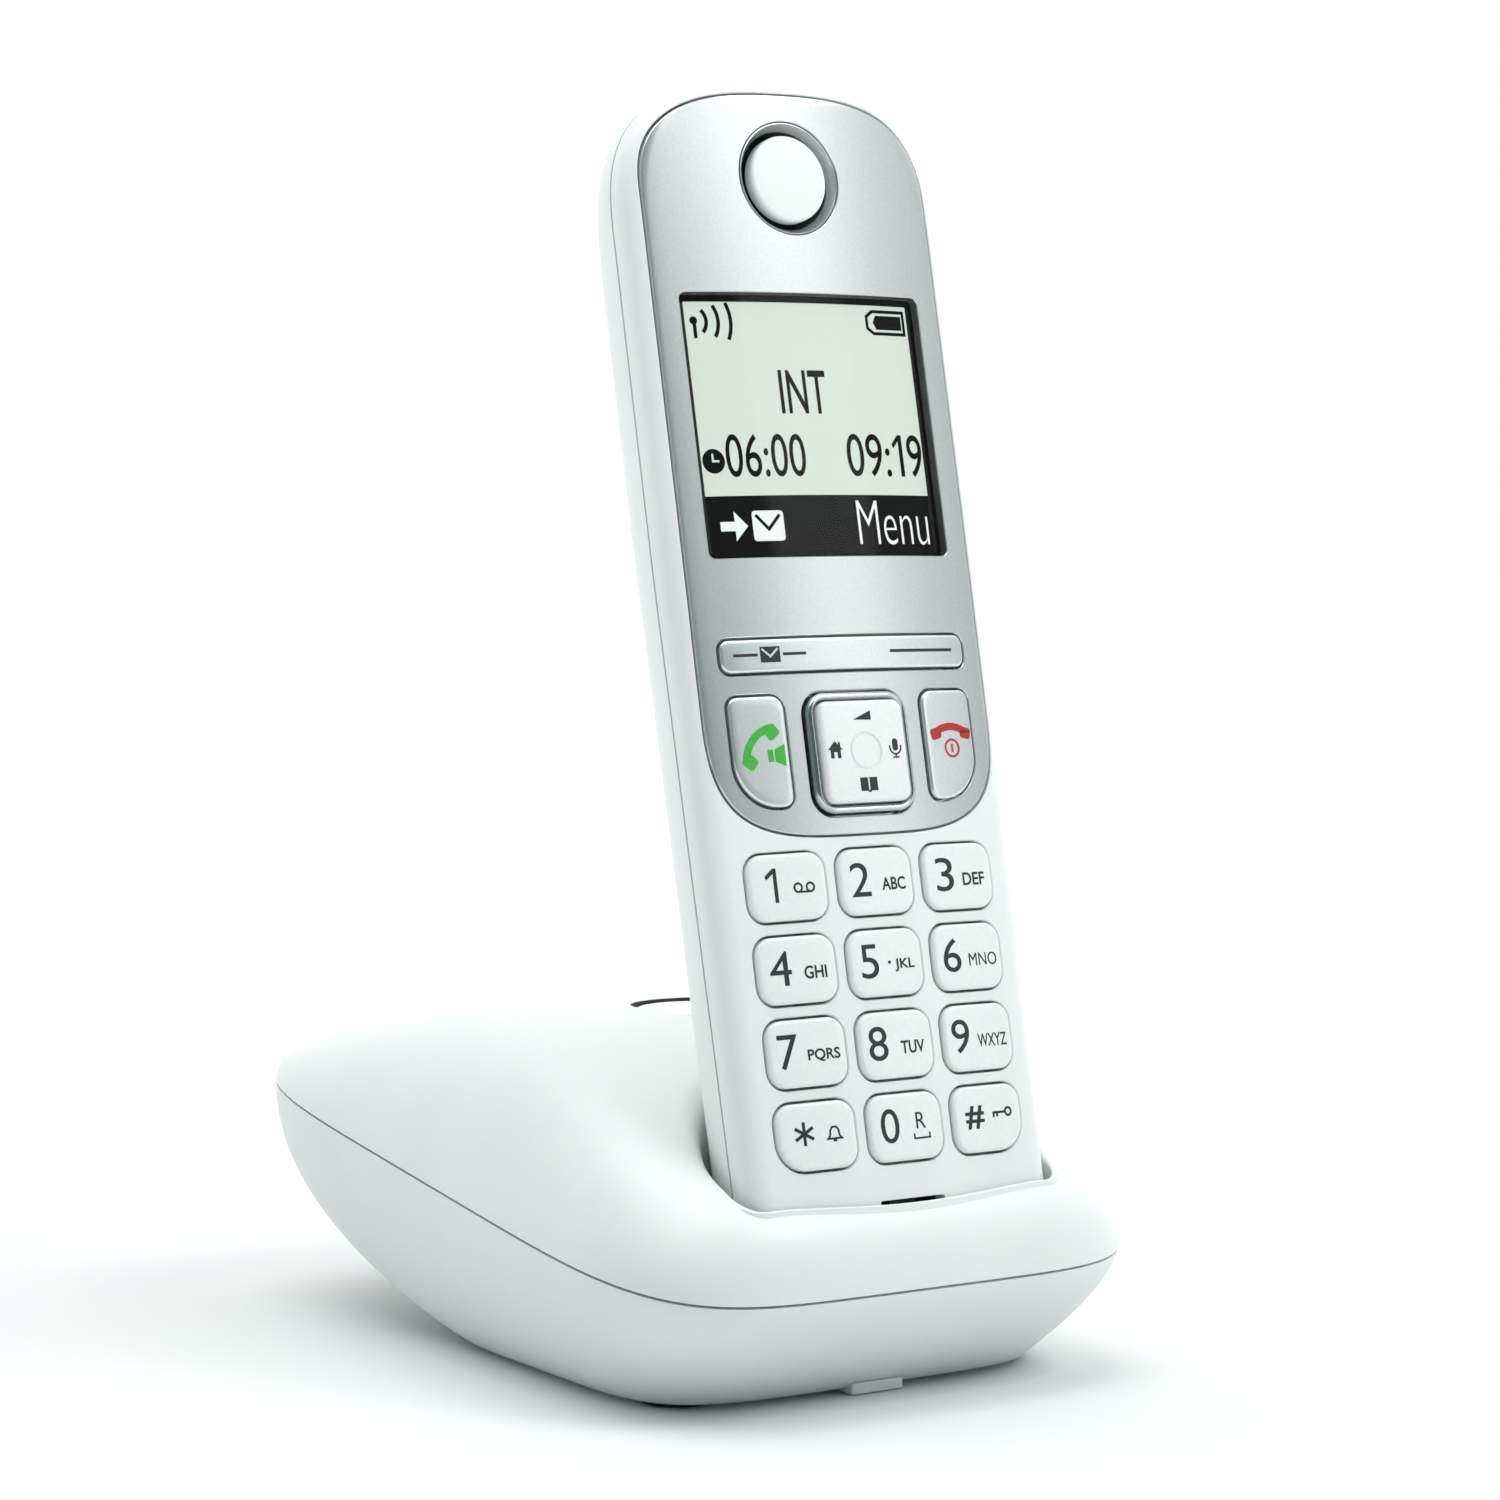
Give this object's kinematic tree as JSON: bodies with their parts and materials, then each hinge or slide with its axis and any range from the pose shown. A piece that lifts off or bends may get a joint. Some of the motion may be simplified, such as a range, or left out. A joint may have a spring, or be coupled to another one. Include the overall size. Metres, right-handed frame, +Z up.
{
  "type": "cordless phone with base",
  "caption": "Cordless home phone: a slim upright handset with display, navigation key and keypad standing in a rounded charging base.",
  "frame": {"origin": "on the table under the middle of the base", "axes": "+Z up, the keypad faces -Y, +X to the viewer's right when facing the keypad"},
  "size_m": [0.081, 0.122, 0.1706],
  "materials": {
    "white_shell": "satin white moulded plastic",
    "white_keys": "white key caps with dark legends",
    "silver_plastic": "silver-grey lacquered plastic",
    "bright_rim": "bright plated rim",
    "grey_ring": "grey moulded plastic",
    "window": "clear window printed black round the display",
    "display": "pale greenish display",
    "dark_plastic": "black moulded plastic",
    "rubber_dark": "black rubber",
    "mat": "pale silicone rubber",
    "board": "green circuit board",
    "steel": "plated steel",
    "cell": "blue sleeved cell"
  },
  "bodies": {
    "base": {"base_cover": "white_shell", "base_bottom": "white_shell", "rubber_feet": "rubber_dark", "base_screws": "steel", "base_circuit_board": "board", "base_radio_shield": "steel", "power_jack": "dark_plastic", "line_jack": "dark_plastic", "contact_block": "dark_plastic", "paging_switch": "dark_plastic"},
    "contact_left": {"charge_contact_left": "steel"},
    "contact_right": {"charge_contact_right": "steel"},
    "paging": {"paging_key": "white_shell"},
    "handset": {"front_shell": "white_shell", "back_shell": "white_shell", "handset_screws": "steel", "front_panel": "silver_plastic", "display_window": "window", "display_gasket": "dark_plastic", "lcd_module": "display", "earpiece_ring": "grey_ring", "earpiece_disc": "white_shell", "earpiece_cloth": "dark_plastic", "receiver_speaker": "steel", "keypad_mat": "mat", "handset_circuit_board": "board", "handset_radio_shield": "steel", "microphone": "dark_plastic", "battery_left": "cell", "battery_right": "cell", "battery_contacts": "steel", "ringer_speaker": "dark_plastic", "charge_pads": "steel"},
    "soft_keys": {"softkey_bar": "silver_plastic"},
    "talk": {"talk_key": "silver_plastic"},
    "end": {"end_key": "silver_plastic"},
    "nav_rocker": {"nav_ring": "bright_rim"},
    "nav_center": {"nav_plate": "white_keys"},
    "battery_door": {"battery_cover": "white_shell"},
    "key_1_body": {"key_1": "white_keys"},
    "key_2_body": {"key_2": "white_keys"},
    "key_3_body": {"key_3": "white_keys"},
    "key_4_body": {"key_4": "white_keys"},
    "key_5_body": {"key_5": "white_keys"},
    "key_6_body": {"key_6": "white_keys"},
    "key_7_body": {"key_7": "white_keys"},
    "key_8_body": {"key_8": "white_keys"},
    "key_9_body": {"key_9": "white_keys"},
    "key_star_body": {"key_star": "white_keys"},
    "key_0_body": {"key_0": "white_keys"},
    "key_hash_body": {"key_hash": "white_keys"}
  },
  "joints": [
    {"name": "handset_lift", "type": "slide", "parent": "base", "child": "handset", "axis": [0, 0.2147, 0.9767], "range_m": [0, 0.06]},
    {"name": "contact_left_spring", "type": "slide", "parent": "base", "child": "contact_left", "axis": [0, 0.2147, 0.9767], "range_m": [-0.0008, 0], "stiffness_N_per_m": 200},
    {"name": "contact_right_spring", "type": "slide", "parent": "base", "child": "contact_right", "axis": [0, 0.2147, 0.9767], "range_m": [-0.0008, 0], "stiffness_N_per_m": 200},
    {"name": "paging_press", "type": "slide", "parent": "base", "child": "paging", "axis": [0, 0, -1], "range_m": [0, 0.0006], "stiffness_N_per_m": 800},
    {"name": "soft_keys_rock", "type": "hinge", "parent": "handset", "child": "soft_keys", "pos_m": [0, -0.03846, 0.09494], "axis": [0, 0.2147, 0.9767], "range_deg": [-1.2, 1.2], "stiffness_Nm_per_rad": 0.05},
    {"name": "nav_tilt_up_down", "type": "hinge", "parent": "handset", "child": "nav_rocker", "pos_m": [0, -0.04075, 0.08223], "axis": [1, 0, 0], "range_deg": [-2, 2], "stiffness_Nm_per_rad": 0.03},
    {"name": "nav_tilt_left_right", "type": "hinge", "parent": "nav_rocker", "child": "nav_center", "pos_m": [0, -0.04319, 0.08277], "axis": [0, 0.2147, 0.9767], "range_deg": [-1.8, 1.8], "stiffness_Nm_per_rad": 0.03},
    {"name": "battery_cover_open", "type": "hinge", "parent": "handset", "child": "battery_door", "pos_m": [0, -0.01465, 0.10547], "axis": [1, 0, 0], "range_deg": [0, 30]},
    {"name": "talk_press", "type": "slide", "parent": "handset", "child": "talk", "axis": [0, 0.9767, -0.2147], "range_m": [0, 0.0007], "stiffness_N_per_m": 800},
    {"name": "end_press", "type": "slide", "parent": "handset", "child": "end", "axis": [0, 0.9767, -0.2147], "range_m": [0, 0.0007], "stiffness_N_per_m": 800},
    {"name": "key_1_press", "type": "slide", "parent": "handset", "child": "key_1_body", "axis": [0, 0.9767, -0.2147], "range_m": [0, 0.0007], "stiffness_N_per_m": 800},
    {"name": "key_2_press", "type": "slide", "parent": "handset", "child": "key_2_body", "axis": [0, 0.9767, -0.2147], "range_m": [0, 0.0007], "stiffness_N_per_m": 800},
    {"name": "key_3_press", "type": "slide", "parent": "handset", "child": "key_3_body", "axis": [0, 0.9767, -0.2147], "range_m": [0, 0.0007], "stiffness_N_per_m": 800},
    {"name": "key_4_press", "type": "slide", "parent": "handset", "child": "key_4_body", "axis": [0, 0.9767, -0.2147], "range_m": [0, 0.0007], "stiffness_N_per_m": 800},
    {"name": "key_5_press", "type": "slide", "parent": "handset", "child": "key_5_body", "axis": [0, 0.9767, -0.2147], "range_m": [0, 0.0007], "stiffness_N_per_m": 800},
    {"name": "key_6_press", "type": "slide", "parent": "handset", "child": "key_6_body", "axis": [0, 0.9767, -0.2147], "range_m": [0, 0.0007], "stiffness_N_per_m": 800},
    {"name": "key_7_press", "type": "slide", "parent": "handset", "child": "key_7_body", "axis": [0, 0.9767, -0.2147], "range_m": [0, 0.0007], "stiffness_N_per_m": 800},
    {"name": "key_8_press", "type": "slide", "parent": "handset", "child": "key_8_body", "axis": [0, 0.9767, -0.2147], "range_m": [0, 0.0007], "stiffness_N_per_m": 800},
    {"name": "key_9_press", "type": "slide", "parent": "handset", "child": "key_9_body", "axis": [0, 0.9767, -0.2147], "range_m": [0, 0.0007], "stiffness_N_per_m": 800},
    {"name": "key_star_press", "type": "slide", "parent": "handset", "child": "key_star_body", "axis": [0, 0.9767, -0.2147], "range_m": [0, 0.0007], "stiffness_N_per_m": 800},
    {"name": "key_0_press", "type": "slide", "parent": "handset", "child": "key_0_body", "axis": [0, 0.9767, -0.2147], "range_m": [0, 0.0007], "stiffness_N_per_m": 800},
    {"name": "key_hash_press", "type": "slide", "parent": "handset", "child": "key_hash_body", "axis": [0, 0.9767, -0.2147], "range_m": [0, 0.0007], "stiffness_N_per_m": 800}
  ]
}
